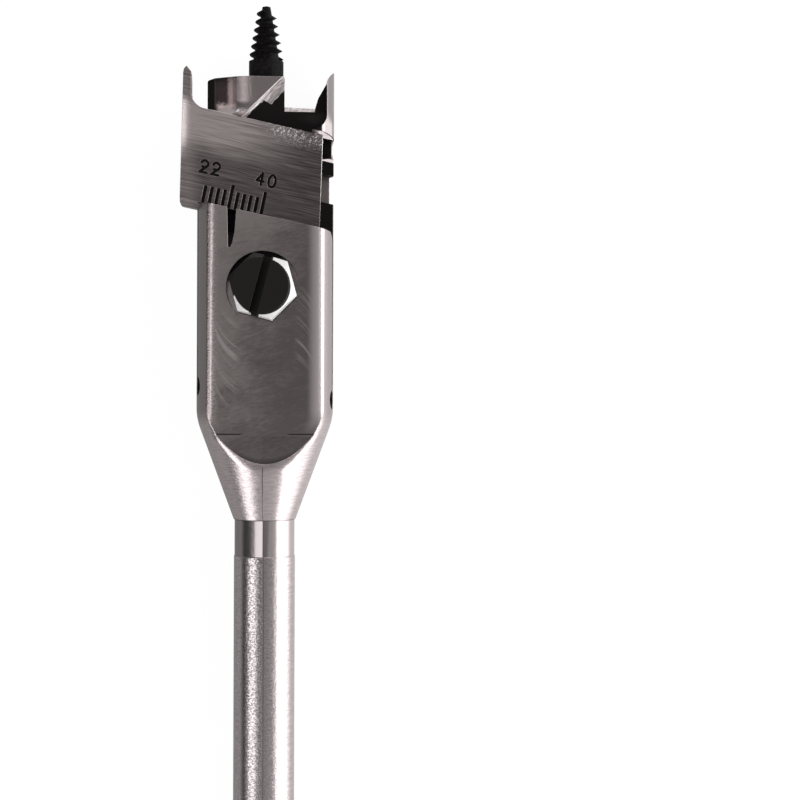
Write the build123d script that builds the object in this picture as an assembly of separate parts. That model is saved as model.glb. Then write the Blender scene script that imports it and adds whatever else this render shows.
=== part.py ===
from build123d import *
import math
import os

# Adjustable wood bit: a round steel body with a sliding cutter plate, a clamp bolt and a feed screw.
# Millimetres. The bit lies on its back flat: Y runs along the axis from the shank's end towards the
# feed screw, X is to the right, Z is up, and the axis itself is X = 0, Z = 0.

# Shank, neck and cone
shank_radius = 4.83
shank_length = 72.8
shank_end_chamfer = 0.8
neck_radius = 4.74
neck_length = 5.8
neck_shoulder_radius = 4.9
cone_half_angle = 20.3
cone_top_round = 9.0

# Head
head_radius = 10.8
head_top_y = 148.36
flat_height = 6.27
flat_start_rise = 13.3
flat_ramp_angle = 23.4
flat_edge_round = 1.8

# Slanted channel for the cutter, across the head
slope_angle = 11.8
channel_floor_z = -0.3
channel_drop = 22.68
jaw_lap = 0.81
plate_clearance = 0.08

# Slit and cross hole that free the front jaw
slit_low_z = 1.4
slit_width = 1.1
cross_hole_radius = 1.5
cross_hole_z = 2.2
cross_hole_rise = 4.05
cross_hole_angle = 5.8

# Cutter plate
plate_thickness = 3.9
plate_height = 15.4
plate_left_x = -13.4
plate_end_inset = 2.4
plate_left_taper = 1.3
plate_right_taper = 2.0
plate_corner_round = 0.55
bevel_height = 0.9
bevel_depth = 1.25
lip_relief_angle = 10.0
spur_height = 5.8
spur_width = 1.25
spur_tip_width = 0.5
spur_root_round = 2.6
spur_outer_drop = 1.0
spur_inner_drop = 0.9
spur_shoulder = (0.12, 0.45)
spur_land = 0.6
spur_back_angle = 30.0

# Rib on the plate's back and the groove it runs in
rib_rise = 5.67
rib_width = 4.3
rib_depth = 3.1
rib_left_inset = 1.6
rib_right_inset = 0.2
groove_floor_gap = 0.1
upper_groove_drop = 1.33
upper_groove_radius = 1.5

# Scale on the plate
mark_count = 10
mark_pitch = 1.03
mark_first_x = -9.88
mark_length = 2.75
mark_long_length = 3.75
mark_long_every = (4, 9)
mark_width = 0.52
mark_depth = 0.3

# Numbers at both ends of the scale, stamped like the marks
number_places = [("22", -8.7), ("40", 0.05)]
number_rise = 6.52
number_height = 2.25
number_width = 1.45
number_pitch = 1.85
number_stroke = 0.38
number_depth = 0.25

# Index notch in the jaw
notch_left_x = -6.0
notch_tip_drop = 27.26
notch_depth = 3.3
notch_run_in = 3.0
notch_length = 8.0
notch_outline = [(0.2, 0), (0.5, 0), (0.87, 0.8), (1.21, 2.6), (1.5, 6.5)]

# Fixed cutting lip on the left
boss_inset = 1.5
boss_corner_round = 0.55
boss_side_angle = 45.0
boss_relief_angle = 9.0
lip_side_inset = 1.2
lip_face_angle = 30.0
lip_crest_x = -2.0
lip_crest_radius = 6.5
lip_end_drop = 6.96
lip_end_round = 3.0
hub_face_z = 3.0

# Right side of the head top: pocket, gap, scoring spur
pocket_floor_z = 2.0
pocket_inset = 1.3
pocket_corner_round = 2.6
ridge_top_x = 2.5
ridge_angle = 45.0
ridge_facet_width = 0.9
gap_left_x = 2.9
gap_floor_drop = 4.5
gap_floor_chamfer = 0.85
gap_floor_fall = 0.2
gap_right_inset = 3.05
side_spur_rise = 1.14
side_spur_knee_inset = 2.6
side_spur_knee_drop = 3.16
side_spur_edge_inset = 0.85
side_spur_edge_drop = 0.06
back_scoop_radius = 5.2
back_scoop_x = 2.4
back_scoop_depth = 1.9

# Clamp bolt
bolt_x = -0.35
bolt_drop = 33.49
bolt_tilt = 7.0
bolt_tilt_heading = 120.0
bolt_head_across_flats = 9.4
bolt_head_height = 2.73
bolt_seat_depth = 0.2
bolt_crown_shift = (-0.35, -0.1)
bolt_top_round_radius = 4.4
bolt_chamfer_height = 0.8
bolt_slot_width = 1.25
bolt_slot_depth = 1.6
bolt_slot_angle = -14.0
bolt_turn = -14.5
bolt_shank_radius = 2.95
bolt_shank_length = 8.4
bolt_fit = 0.06
bolt_jaw_clearance = 0.25
bolt_end_chamfer = 0.5
counterbore_radius = 5.7
head_seat_gap = 0.05

# Feed screw
collar_radius = 2.74
collar_length = 2.84
screw_length = 9.0
screw_root_radius = 2.12
screw_half_angle = 9.6
thread_pitch = 1.325
thread_depth = 0.72
thread_base = 0.95
screw_stem_radius = 1.4
screw_stem_length = 7.4

big = 60.0
wide = 20.0
slope = math.radians(slope_angle)
cone_start_y = shank_length + neck_length
cone_length = (head_radius - neck_shoulder_radius) / math.tan(math.radians(cone_half_angle))
head_start_y = cone_start_y + cone_length
flat_start_y = cone_start_y + flat_start_rise
cross_hole_y = head_start_y + cross_hole_rise
channel_low_v = head_top_y * math.cos(slope) - channel_drop
plate_low_v = channel_low_v + plate_clearance
jaw_top_v = plate_low_v + jaw_lap
rib_low_v = plate_low_v + rib_rise
plate_top_v = plate_low_v + plate_height
plate_back_z = channel_floor_z + plate_clearance
plate_face_z = plate_back_z + plate_thickness
plate_right_x = head_radius - plate_end_inset
upper_groove_v = plate_top_v - upper_groove_drop
notch_tip_y = head_top_y - notch_tip_drop
bolt_y = head_top_y - bolt_drop
boss_radius = head_radius - boss_inset
lip_left_x = lip_side_inset - boss_radius
lip_end_y = head_top_y - lip_end_drop
pocket_right_x = head_radius - pocket_inset
gap_floor_y = head_top_y - gap_floor_drop
gap_right_x = head_radius - gap_right_inset
side_spur_tip_y = head_top_y + side_spur_rise
side_spur_knee = (head_radius - side_spur_knee_inset, head_top_y - side_spur_knee_drop)
side_spur_edge = (head_radius - side_spur_edge_inset, head_top_y - side_spur_edge_drop)


def slanted(shape):
    # Turns a shape drawn along the channel (u, v) into the bit's own X and Y.
    return Rot(0, 0, -slope_angle) * shape


def on_slope(x, v):
    # Y of the point with this X on the slanted line v = constant.
    return (v - x * math.sin(slope)) / math.cos(slope)


def slab(low, high):
    centre = [(a + b) / 2 for a, b in zip(low, high)]
    size = [b - a for a, b in zip(low, high)]
    return Pos(*centre) * Box(*size)


def prism_up(points, low_z, high_z):
    face = make_face(Plane.XY.offset(low_z) * Polyline(*points, close=True))
    return extrude(face, high_z - low_z, dir=(0, 0, 1))


def prism_across(points, low_x, high_x):
    # Points are (y, z) pairs, carried along X.
    path = [(low_x, y, z) for y, z in points]
    face = make_face(Polyline(*path, close=True))
    return extrude(face, high_x - low_x, dir=(1, 0, 0))


def prism_along_y(points, low_y, high_y):
    # Points are (x, z) pairs, carried along Y.
    path = [(x, low_y, z) for x, z in points]
    face = make_face(Polyline(*path, close=True))
    return extrude(face, high_y - low_y, dir=(0, 1, 0))


def prism_along_slope(points, low_u=-big, high_u=big):
    # Points are (v, z) pairs, carried along the channel.
    return slanted(prism_across(points, low_u - big, high_u + big))


def cylinder_along_y(radius, x, z, low_y, high_y):
    turned = Plane(origin=(x, low_y, z), x_dir=(1, 0, 0), z_dir=(0, 1, 0))
    return extrude(turned * Circle(radius), high_y - low_y)


def turned_blank():
    # Half outline of the turned body, spun about Y.
    outline = Polyline(
        (0, 0),
        (shank_radius - shank_end_chamfer, 0),
        (shank_radius, shank_end_chamfer),
        (shank_radius, shank_length),
        (neck_radius, shank_length + shank_radius - neck_radius),
        (neck_radius, cone_start_y),
        (neck_shoulder_radius, cone_start_y),
        (head_radius, head_start_y),
        (head_radius, side_spur_tip_y),
        (0, side_spur_tip_y),
        close=True,
    )
    face = make_face(outline)
    corner = face.vertices().sort_by_distance(Vertex(head_radius, head_start_y, 0))[0]
    face = fillet(corner, cone_top_round)
    return revolve(face, Axis.Y)


def flat_cutter():
    # Everything beyond the two flats, whose long edges are polished round. The front one ends in a ramp,
    # and the back one runs straight out through the cone, so that the bit lies on it.
    reach = head_radius - flat_edge_round + 0.05
    corner_z = flat_height - flat_edge_round
    corner_x = math.sqrt(reach ** 2 - corner_z ** 2)
    outer = 1 + flat_edge_round / reach
    foot = (corner_x * outer, corner_z * outer)
    middle_angle = (math.pi / 2 + math.atan2(corner_z, corner_x)) / 2
    middle = (
        corner_x + flat_edge_round * math.cos(middle_angle),
        corner_z + flat_edge_round * math.sin(middle_angle),
    )
    far = (big, foot[1] * big / foot[0])
    outline = [
        Line(far, foot),
        ThreePointArc(foot, middle, (corner_x, flat_height)),
        Line((corner_x, flat_height), (-corner_x, flat_height)),
        ThreePointArc((-corner_x, flat_height), (-middle[0], middle[1]), (-foot[0], foot[1])),
        Line((-foot[0], foot[1]), (-far[0], far[1])),
        Line((-far[0], far[1]), (-big, 2 * big)),
        Line((-big, 2 * big), (big, 2 * big)),
        Line((big, 2 * big), far),
    ]
    section = Plane(origin=(0, side_spur_tip_y + 1, 0), x_dir=(1, 0, 0), z_dir=(0, -1, 0))
    column = extrude(section * make_face(Curve() + outline), 2 * big, dir=(0, -1, 0))
    run = 1 / math.tan(math.radians(flat_ramp_angle))
    ramp = prism_across(
        [
            (flat_start_y + run * flat_height, 0),
            (side_spur_tip_y + 2, 0),
            (side_spur_tip_y + 2, big),
            (flat_start_y - run * (big - flat_height), big),
        ],
        -big,
        big,
    )
    return (column & ramp) + mirror(column, Plane.XY)


def cutter_channel():
    # Open to the front, with its lower wall undercut to hold the plate's bevel.
    steepness = bevel_depth / bevel_height
    undercut_z = plate_face_z - bevel_depth + plate_clearance * (math.hypot(1, steepness) - steepness)
    profile = [
        (channel_low_v, channel_floor_z),
        (channel_low_v, undercut_z),
        (jaw_top_v, undercut_z + steepness * (jaw_top_v - channel_low_v)),
        (jaw_top_v, big),
        (plate_top_v + plate_clearance, big),
        (plate_top_v + plate_clearance, channel_floor_z),
    ]
    channel = prism_along_slope(profile)
    groove_low = rib_low_v - plate_clearance
    groove_high = rib_low_v + rib_width + plate_clearance
    groove_floor = plate_back_z - rib_depth - groove_floor_gap
    groove = prism_along_slope(
        [
            (groove_low, groove_floor),
            (groove_low, channel_floor_z + 1),
            (groove_high, channel_floor_z + 1),
            (groove_high, groove_floor),
        ]
    )
    round_axis = Plane(origin=(-big, upper_groove_v, channel_floor_z), z_dir=(1, 0, 0))
    relief = slanted(extrude(round_axis * Circle(upper_groove_radius), 2 * big))
    return channel + groove + relief


def jaw_slit():
    drop = math.tan(math.radians(cross_hole_angle))
    slit = prism_up(
        [
            (-big, cross_hole_y + drop * big),
            (big, cross_hole_y - drop * big),
            (big, on_slope(big, channel_low_v + 1)),
            (-big, on_slope(-big, channel_low_v + 1)),
        ],
        slit_low_z,
        slit_low_z + slit_width,
    )
    side = Plane(origin=(0, cross_hole_y, cross_hole_z), x_dir=(0, 0, 1), z_dir=(1, -drop, 0))
    hole = extrude(side * Circle(cross_hole_radius), big, both=True)
    return slit + hole


def index_notch():
    # A tapered groove that deepens from its tip up to the jaw's edge.
    outline = notch_outline + [(notch_outline[-1][0], notch_length), (0, notch_length)]
    column = prism_up([(notch_left_x + x, notch_tip_y + y) for x, y in outline], 0, big)
    start_y = notch_tip_y - notch_run_in / 8
    wedge = prism_across(
        [
            (start_y, flat_height),
            (start_y + notch_run_in, flat_height - notch_depth),
            (start_y + notch_length + 2, flat_height - notch_depth),
            (start_y + notch_length + 2, big),
            (start_y, big),
        ],
        -big,
        big,
    )
    return column & wedge


def bolt_axis():
    # The bolt leans a little, so its frame stands on the flat with Z along the bolt.
    lean = math.radians(bolt_tilt)
    heading = math.radians(bolt_tilt_heading)
    along = (math.sin(lean) * math.cos(heading), math.sin(lean) * math.sin(heading), math.cos(lean))
    return Plane(origin=(bolt_x, bolt_y, flat_height), x_dir=(math.cos(lean), 0, -along[0]), z_dir=along)


def bolt_opening():
    slit_middle = slit_low_z + slit_width / 2 - flat_height
    seat_z = -bolt_seat_depth - head_seat_gap
    hole_end = seat_z - bolt_shank_length - bolt_end_chamfer
    counterbore = extrude(Plane.XY.offset(seat_z) * Circle(counterbore_radius), big)
    jaw_hole = extrude(Plane.XY.offset(slit_middle) * Circle(bolt_shank_radius + bolt_jaw_clearance), big)
    rear_hole = extrude(Plane.XY.offset(hole_end) * Circle(bolt_shank_radius + bolt_fit), big)
    return bolt_axis().location * (counterbore + jaw_hole + rear_hole)


def lip_crest():
    # Where the round crest of the lip's face runs out into the straight slope: x and z.
    lean = math.radians(lip_face_angle)
    return (
        lip_crest_x - lip_crest_radius * math.sin(lean),
        hub_face_z - lip_crest_radius * (1 - math.cos(lean)),
    )


def lip_left_z():
    crest_x, crest_z = lip_crest()
    return crest_z - (crest_x - lip_left_x) * math.tan(math.radians(lip_face_angle))


def boss_trim():
    # The left half of the head top is turned down and its top face falls away behind the lip.
    above_plate = prism_up(
        [
            (-wide, on_slope(-wide, plate_top_v)),
            (0, on_slope(0, plate_top_v)),
            (0, side_spur_tip_y + 1),
            (-wide, side_spur_tip_y + 1),
        ],
        -big,
        big,
    )
    boss = cylinder_along_y(boss_radius, 0, 0, 0, head_top_y)
    boss = fillet(boss.edges().sort_by(Axis.Y)[-1], boss_corner_round)
    side_fall = math.tan(math.radians(boss_side_angle))
    low_z = lip_left_z()
    side = prism_along_y(
        [
            (lip_left_x, low_z),
            (lip_left_x, big),
            (lip_left_x - wide, big),
            (lip_left_x - wide, low_z - side_fall * wide),
        ],
        0,
        side_spur_tip_y + 1,
    )
    relief = math.tan(math.radians(boss_relief_angle))
    top = prism_across(
        [
            (head_top_y, low_z),
            (head_top_y + big, low_z),
            (head_top_y + big, -big),
            (head_top_y - relief * (low_z + big), -big),
        ],
        -big,
        -collar_radius,
    )
    flat_top = slab((-big, head_top_y, -big), (gap_left_x + 0.1, head_top_y + big, big))
    return (above_plate - boss) + (above_plate & side) + top + flat_top


def lip_scoop():
    # Rake face of the fixed lip: it slopes up to the hub over a round crest and ends in a round run-out.
    crest_x, crest_z = lip_crest()
    lean = math.radians(lip_face_angle)
    far_z = crest_z - (crest_x + wide) * math.tan(lean)
    bend = (
        lip_crest_x - lip_crest_radius * math.sin(lean / 2),
        hub_face_z - lip_crest_radius * (1 - math.cos(lean / 2)),
    )

    def at(point):
        return (point[0], lip_end_y, point[1])

    under = [
        Line(at((-wide, far_z)), at((crest_x, crest_z))),
        ThreePointArc(at((crest_x, crest_z)), at(bend), at((lip_crest_x, hub_face_z))),
        Line(at((lip_crest_x, hub_face_z)), at((side_spur_knee[0], hub_face_z))),
    ]
    over = Polyline(
        at((side_spur_knee[0], hub_face_z)),
        at((side_spur_knee[0], big)),
        at((-wide, big)),
        at((-wide, far_z)),
    )
    section = make_face(Curve() + under + [over])
    scoop = extrude(section, lip_end_drop + 1, dir=(0, 1, 0))
    rims = scoop.edges().group_by(Axis.Y)[0]
    rims = [rim for rim in rims if rim.center().Z <= hub_face_z + 0.01]
    return fillet(rims, lip_end_round)


def front_pocket():
    # Clearance behind the right half of the head top, bounded by the slanted ridge and the spur's wall.
    low_v = plate_top_v - 1
    outline = [
        (-wide, on_slope(-wide, low_v)),
        (pocket_right_x, on_slope(pocket_right_x, plate_top_v + plate_clearance)),
        (pocket_right_x, side_spur_tip_y + 2),
        (-wide, side_spur_tip_y + 2),
    ]
    column = prism_up(outline, pocket_floor_z, big)
    corner_spot = Vertex(pocket_right_x, outline[1][1], big / 2)
    corner = column.edges().filter_by(Axis.Z).sort_by_distance(corner_spot)[0]
    column = fillet(corner, pocket_corner_round)
    lean = math.radians(ridge_angle)
    along = Vector(math.cos(lean), math.sin(lean), 0)
    across = Vector(along.Y, -along.X, 0)
    start = Vector(ridge_top_x, head_top_y, 0) - along * 2 * wide
    section = Plane(origin=start, x_dir=across, z_dir=-along)
    profile = Polyline(
        (0, hub_face_z),
        (ridge_facet_width, pocket_floor_z),
        (big, pocket_floor_z),
        (big, big),
        (0, big),
        close=True,
    )
    return column & extrude(section * make_face(profile), big, dir=along)


def side_gap():
    # The gap between the hub and the scoring spur, right through the head.
    outline = [
        (gap_left_x, gap_floor_y),
        (gap_right_x, gap_floor_y - gap_floor_fall),
        side_spur_knee,
        side_spur_edge,
        (head_radius, side_spur_tip_y),
        (head_radius, side_spur_tip_y + 2),
        (gap_left_x, side_spur_tip_y + 2),
    ]
    gap = prism_up(outline, -big, big)
    over = 2.5
    low = pocket_floor_z - gap_floor_chamfer
    chamfer = prism_across(
        [
            (gap_floor_y + over, low - over),
            (gap_floor_y - gap_floor_chamfer - over, pocket_floor_z + over),
            (gap_floor_y + over, pocket_floor_z + over),
        ],
        gap_left_x,
        gap_right_x,
    )
    return gap + chamfer


def back_scoop():
    # Rake face of the right half, which cuts on the hidden side.
    centre_z = -flat_height + back_scoop_depth - back_scoop_radius
    tube = cylinder_along_y(back_scoop_radius, back_scoop_x, centre_z, lip_end_y, side_spur_tip_y + 1)
    end = Pos(back_scoop_x, lip_end_y, centre_z) * Sphere(back_scoop_radius)
    return tube + end


def make_body():
    body = turned_blank() - flat_cutter()
    body = body - cutter_channel() - jaw_slit() - index_notch() - bolt_opening()
    body = body - boss_trim() - lip_scoop() - front_pocket() - side_gap() - back_scoop()
    stem = cylinder_along_y(screw_stem_radius, 0, 0, head_top_y - screw_stem_length, head_top_y + 1)
    return body - stem


def root_tangent():
    # How far the round at the spur's root reaches along either side of its corner.
    return spur_root_round * math.tan(math.pi / 4 - slope / 2)


def plate_outline():
    left_lean = math.tan(math.radians(plate_left_taper))
    right_lean = math.tan(math.radians(plate_right_taper))
    low_y = on_slope(plate_left_x, plate_low_v)
    spur_base_y = on_slope(plate_left_x, plate_top_v)
    spur_top_y = spur_base_y + spur_height
    outer_x = plate_left_x + left_lean * (spur_top_y - low_y)
    inner_x = outer_x + spur_width
    root_y = on_slope(inner_x, plate_top_v)
    root_reach = root_tangent()
    right_top_x = plate_right_x + right_lean * plate_height
    return [
        (plate_left_x, low_y),
        (outer_x, spur_top_y - spur_outer_drop),
        (outer_x + spur_shoulder[0], spur_top_y - spur_shoulder[1]),
        (outer_x + spur_tip_width, spur_top_y),
        (inner_x, spur_top_y - spur_inner_drop),
        (inner_x, root_y + root_reach),
        (inner_x + root_reach * math.cos(slope), root_y - root_reach * math.sin(slope)),
        (right_top_x, on_slope(right_top_x, plate_top_v)),
        (plate_right_x, on_slope(plate_right_x, plate_low_v)),
    ]


def make_cutter():
    outline = plate_outline()
    plate = prism_up(outline, plate_back_z, plate_face_z)
    low_corner = Vertex(*outline[0], plate_face_z)
    plate = fillet(plate.edges().filter_by(Axis.Z).sort_by_distance(low_corner)[0], plate_corner_round)
    bevel = prism_along_slope(
        [
            (plate_low_v - 1, plate_face_z - bevel_depth),
            (plate_low_v, plate_face_z - bevel_depth),
            (plate_low_v + bevel_height, plate_face_z),
            (plate_low_v + bevel_height, plate_face_z + 1),
            (plate_low_v - 1, plate_face_z + 1),
        ]
    )
    fall = math.tan(math.radians(lip_relief_angle))
    lip_relief = prism_along_slope(
        [
            (plate_top_v, plate_face_z),
            (plate_top_v + 1, plate_face_z),
            (plate_top_v + 1, plate_back_z - 1),
            (plate_top_v - fall * (plate_thickness + 1), plate_back_z - 1),
        ]
    )
    lip_relief = lip_relief & slab((outline[6][0], 0, -big), (big, 4 * big, big))
    root_centre = (outline[5][0] + spur_root_round, outline[5][1] + fall)
    root_disc = Plane.XY.offset(plate_face_z + 1) * Pos(*root_centre) * Circle(spur_root_round)
    root_round = extrude(root_disc, plate_thickness + 3, dir=(0, -fall, -1))
    spur_fall = math.tan(math.radians(spur_back_angle))
    spur_top_y = outline[3][1]
    spur_relief = prism_across(
        [
            (spur_top_y, plate_face_z - spur_land),
            (spur_top_y + 1, plate_face_z - spur_land),
            (spur_top_y + 1, plate_back_z - 1),
            (spur_top_y - (plate_thickness + 1 - spur_land) * spur_fall, plate_back_z - 1),
        ],
        -big,
        outline[4][0] + spur_land,
    )
    rib = prism_along_slope(
        [
            (rib_low_v, plate_back_z - rib_depth),
            (rib_low_v, plate_back_z + 0.5),
            (rib_low_v + rib_width, plate_back_z + 0.5),
            (rib_low_v + rib_width, plate_back_z - rib_depth),
        ]
    )
    rib = rib & slab(
        (plate_left_x + rib_left_inset, 0, -big),
        (plate_right_x - rib_right_inset, 4 * big, big),
    )
    cutter = plate - bevel - lip_relief - root_round - spur_relief + rib
    return cutter - scale_marks() - scale_numbers()


def scale_marks():
    marks = []
    for number in range(mark_count):
        length = mark_long_length if number in mark_long_every else mark_length
        x = mark_first_x + number * mark_pitch * math.cos(slope)
        low_v = plate_low_v + bevel_height
        u = x * math.cos(slope) - on_slope(x, low_v) * math.sin(slope)
        mark = slab(
            (u - mark_width / 2, low_v, plate_face_z - mark_depth),
            (u + mark_width / 2, low_v + length, plate_face_z + 1),
        )
        marks.append(slanted(mark))
    return Part() + marks


def bar(start, end):
    # A straight stroke with round ends.
    run = Vector(end[0] - start[0], end[1] - start[1], 0)
    turn = math.degrees(math.atan2(run.Y, run.X))
    spot = Pos((start[0] + end[0]) / 2, (start[1] + end[1]) / 2) * Rot(0, 0, turn)
    return spot * SlotOverall(run.length + number_stroke, number_stroke)


def figure_two():
    half = (number_width - number_stroke) / 2
    low = (number_stroke - number_height) / 2
    bow_y = -low - half
    bow = Circle(half + number_stroke / 2) - Circle(half - number_stroke / 2)
    keep = Pos(0, number_height / 2) * Rectangle(number_height, number_height) + Rot(0, 0, -45) * (
        Pos(number_height / 2, 0) * Rectangle(number_height, number_height)
    )
    corner = (half * math.cos(math.radians(45)), bow_y - half * math.sin(math.radians(45)))
    return Pos(0, bow_y) * (bow & keep) + bar(corner, (-half, low)) + bar((-half, low), (half, low))


def figure_four():
    half = (number_width - number_stroke) / 2
    top = (number_height - number_stroke) / 2
    upright_x = half * 0.4
    arm_y = -top * 0.35
    return (
        bar((upright_x, -top), (upright_x, top))
        + bar((upright_x, top), (-half, arm_y))
        + bar((-half, arm_y), (half, arm_y))
    )


def figure_nought():
    outer = Ellipse(number_width / 2, number_height / 2)
    return outer - Ellipse(number_width / 2 - number_stroke, number_height / 2 - number_stroke)


def scale_numbers():
    figures = {"2": figure_two, "4": figure_four, "0": figure_nought}
    middle_v = plate_low_v + number_rise
    stamps = []
    for word, x in number_places:
        u = x * math.cos(slope) - on_slope(x, middle_v) * math.sin(slope)
        for place, letter in enumerate(word):
            spot = Pos(u + (place - 0.5) * number_pitch, middle_v, plate_face_z - number_depth)
            stamps.append(slanted(extrude(spot * figures[letter](), 1, dir=(0, 0, 1))))
    return stamps


def make_bolt():
    seat_z = -bolt_seat_depth
    top_z = seat_z + bolt_head_height
    head = extrude(
        Plane.XY.offset(seat_z)
        * Rot(0, 0, bolt_turn)
        * RegularPolygon(bolt_head_across_flats / 2, 6, major_radius=False),
        bolt_head_height,
    )
    corner_radius = bolt_head_across_flats / 2 / math.cos(math.radians(30))
    spread = (corner_radius - bolt_top_round_radius) / bolt_chamfer_height
    crown = Plane.XZ * make_face(
        Polyline(
            (0, seat_z),
            (corner_radius + 1, seat_z),
            (corner_radius + 1, top_z - bolt_chamfer_height - 1 / spread),
            (bolt_top_round_radius, top_z),
            (0, top_z),
            close=True,
        )
    )
    crown_spot = Pos(*bolt_crown_shift)
    head = head & crown_spot * revolve(crown, Axis.Z)
    slot = slab(
        (-big, -bolt_slot_width / 2, top_z - bolt_slot_depth),
        (big, bolt_slot_width / 2, top_z + 1),
    )
    head = head - crown_spot * Rot(0, 0, 90 + bolt_slot_angle) * slot
    shank = extrude(Plane.XY.offset(seat_z - bolt_shank_length) * Circle(bolt_shank_radius), bolt_shank_length)
    tip = shank.edges().group_by(Axis.Z)[0]
    shank = chamfer(tip, bolt_end_chamfer)
    return bolt_axis().location * (head + shank)


def make_screw():
    # Drawn pointing up Z at the origin, then laid along Y.
    half = math.radians(screw_half_angle)
    tip_radius = screw_root_radius - (screw_length - 0.3) * math.tan(half)
    core = make_face(
        Polyline(
            (0, -collar_length - screw_stem_length + 0.3),
            (screw_stem_radius, -collar_length - screw_stem_length + 0.3),
            (screw_stem_radius, -collar_length),
            (collar_radius, -collar_length),
            (collar_radius, 0),
            (screw_root_radius, 0),
            (tip_radius, screw_length - 0.3),
            (0, screw_length - 0.1),
            close=True,
        )
    )
    core = revolve(Plane.XZ * core, Axis.Z)
    start_z = 0.45
    path = Edge.make_helix(
        thread_pitch,
        screw_length - 1.1 - start_z,
        screw_root_radius - start_z * math.tan(half) - 0.1,
        center=(0, 0, start_z),
        normal=(0, 0, 1),
        angle=-screw_half_angle,
    )
    first = path.position_at(0)
    section = Plane(origin=first, x_dir=(first.X, first.Y, 0), z_dir=path.tangent_at(0))
    ridge = make_face(
        section * Polyline((0, -thread_base / 2), (thread_depth + 0.1, 0), (0, thread_base / 2), close=True)
    )
    thread = sweep(ridge, path=path, is_frenet=True)
    screw = core + thread
    laid = Plane(origin=(0, head_top_y + collar_length, 0), x_dir=(1, 0, 0), z_dir=(0, 1, 0))
    return laid.location * screw


def main():
    os.makedirs("parts", exist_ok=True)
    pieces = {
        "bit_body": make_body(),
        "sliding_cutter": make_cutter(),
        "clamp_bolt": make_bolt(),
        "lead_screw": make_screw(),
    }
    for name, piece in pieces.items():
        print(name, len(piece.solids()), round(piece.volume, 1), piece.is_valid)
        export_step(piece, "parts/" + name + ".step")


main()
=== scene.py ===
import math

import bpy
from mathutils import Matrix, Vector


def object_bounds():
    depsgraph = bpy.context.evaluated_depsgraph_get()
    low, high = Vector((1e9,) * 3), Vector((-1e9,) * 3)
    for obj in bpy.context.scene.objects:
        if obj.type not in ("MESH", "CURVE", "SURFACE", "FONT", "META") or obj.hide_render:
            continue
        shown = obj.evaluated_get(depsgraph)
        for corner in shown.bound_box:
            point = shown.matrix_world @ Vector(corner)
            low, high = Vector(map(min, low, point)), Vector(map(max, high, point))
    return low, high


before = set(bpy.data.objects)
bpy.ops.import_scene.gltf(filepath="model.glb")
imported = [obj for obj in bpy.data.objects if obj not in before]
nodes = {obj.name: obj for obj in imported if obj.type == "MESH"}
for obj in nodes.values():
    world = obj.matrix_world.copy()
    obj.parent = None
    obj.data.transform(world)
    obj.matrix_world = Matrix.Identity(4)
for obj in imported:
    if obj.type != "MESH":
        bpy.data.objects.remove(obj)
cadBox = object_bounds()
mm = 0.001
print("frame loaded:", sorted(nodes))


# shader sums: a Field is a number that changes over the surface

def feed(socket, value):
    # A socket gets a link or a plain value.
    value = value.socket if isinstance(value, Field) else value
    if isinstance(value, bpy.types.NodeSocket):
        socket.id_data.links.new(value, socket)
    else:
        socket.default_value = value


def addNode(tree, kind, inputs=None, **settings):
    made = tree.nodes.new(kind)
    for name, value in settings.items():
        setattr(made, name, value)
    for name, value in (inputs or {}).items():
        feed(made.inputs[name], value)
    return made


def maths(operation, *values):
    tree = next(value for value in values if isinstance(value, Field)).tree
    made = addNode(tree, "ShaderNodeMath", dict(enumerate(values)), operation=operation)
    return Field(made.outputs[0])


class Field:
    # On masks, & multiplies, | takes the larger one and ~ turns a mask round.
    def __init__(self, socket):
        self.socket = socket
        self.tree = socket.id_data

    def __add__(self, other):
        return maths("ADD", self, other)

    def __sub__(self, other):
        return maths("SUBTRACT", self, other)

    def __rsub__(self, other):
        return maths("SUBTRACT", other, self)

    def __mul__(self, other):
        return maths("MULTIPLY", self, other)

    def __truediv__(self, other):
        return maths("DIVIDE", self, other)

    def __abs__(self):
        return maths("ABSOLUTE", self)

    def __invert__(self):
        return maths("SUBTRACT", 1.0, self)

    def __and__(self, other):
        return maths("MULTIPLY", self, other)

    def __or__(self, other):
        return maths("MAXIMUM", self, other)

    __radd__ = __add__
    __rmul__ = __mul__

    def root(self):
        return maths("SQRT", self)

    def atLeast(self, other):
        return maths("MAXIMUM", self, other)

    def atMost(self, other):
        return maths("MINIMUM", self, other)

    def step(self, start, end):
        # Smooth rise from 0 at start to 1 at end.
        made = addNode(self.tree, "ShaderNodeMapRange", {"Value": self, "From Min": start, "From Max": end},
                       interpolation_type="SMOOTHSTEP")
        return Field(made.outputs[0])

    def over(self, level, soft):
        return self.step(level - soft, level + soft)

    def under(self, level, soft):
        return self.step(level + soft, level - soft)

    def within(self, low, high, soft):
        return self.over(low, soft) & self.under(high, soft)

    def pick(self, low, high):
        # low where this mask is 0, high where it is 1.
        made = addNode(self.tree, "ShaderNodeMix", {0: self, 2: low, 3: high}, data_type="FLOAT")
        return Field(made.outputs[0])


def paint(mask, under, over):
    made = addNode(mask.tree, "ShaderNodeMix", {0: mask, 6: under, 7: over}, data_type="RGBA")
    return made.outputs[2]


def layers(colour, *coats):
    # Each coat is a mask and the colour that it puts over what lies below.
    for mask, over in coats:
        colour = paint(mask, colour, over)
    return colour


def choose(value, *coats):
    for mask, over in coats:
        value = mask.pick(value, over)
    return value


def joined(x, y, z):
    return addNode(x.tree, "ShaderNodeCombineXYZ", {0: x, 1: y, 2: z}).outputs[0]


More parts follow.
